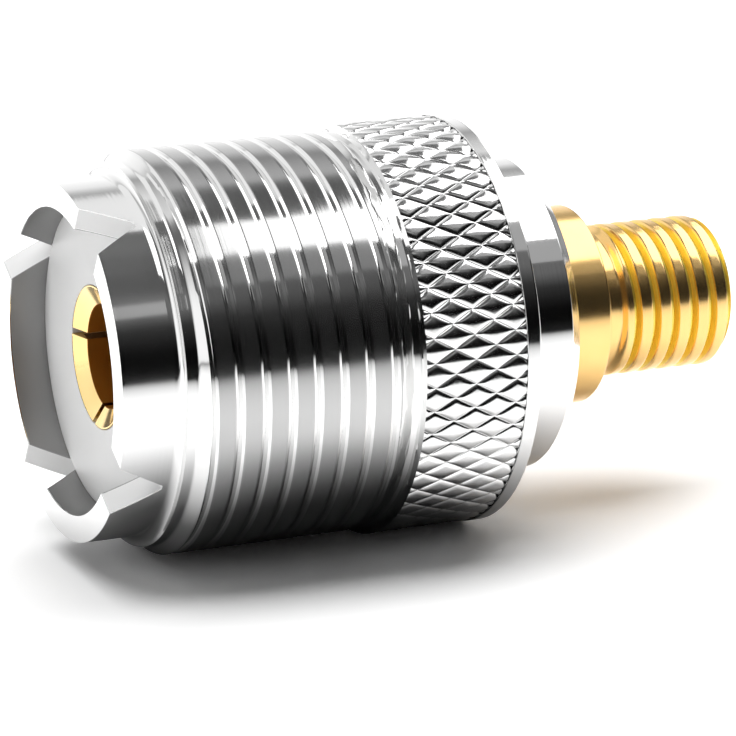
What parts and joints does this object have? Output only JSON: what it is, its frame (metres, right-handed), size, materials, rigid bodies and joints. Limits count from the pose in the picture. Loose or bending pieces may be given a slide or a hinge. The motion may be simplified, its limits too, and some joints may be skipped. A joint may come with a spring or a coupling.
{
  "type": "coax adapter",
  "caption": "Straight coaxial adapter: large threaded jack with notched nose, knurled grip band, and a gold-plated small threaded jack on the same axis.",
  "frame": {"origin": "centre of the face of the large jack's nose, on which the part stands", "axes": "+Z along the shared axis from the large jack to the small jack; +X along one slot of the large socket, midway between two of the nose notches"},
  "size_m": [0.0164, 0.0164, 0.0279],
  "materials": {
    "nickel": "bright nickel plate",
    "gold": "bright gold plate",
    "ptfe": "matte white"
  },
  "bodies": {
    "root": {"uhf_shell": "nickel", "uhf_insulator": "ptfe", "uhf_socket": "gold", "sma_shell": "gold", "sma_insulator": "ptfe", "sma_socket": "gold"}
  },
  "joints": []
}
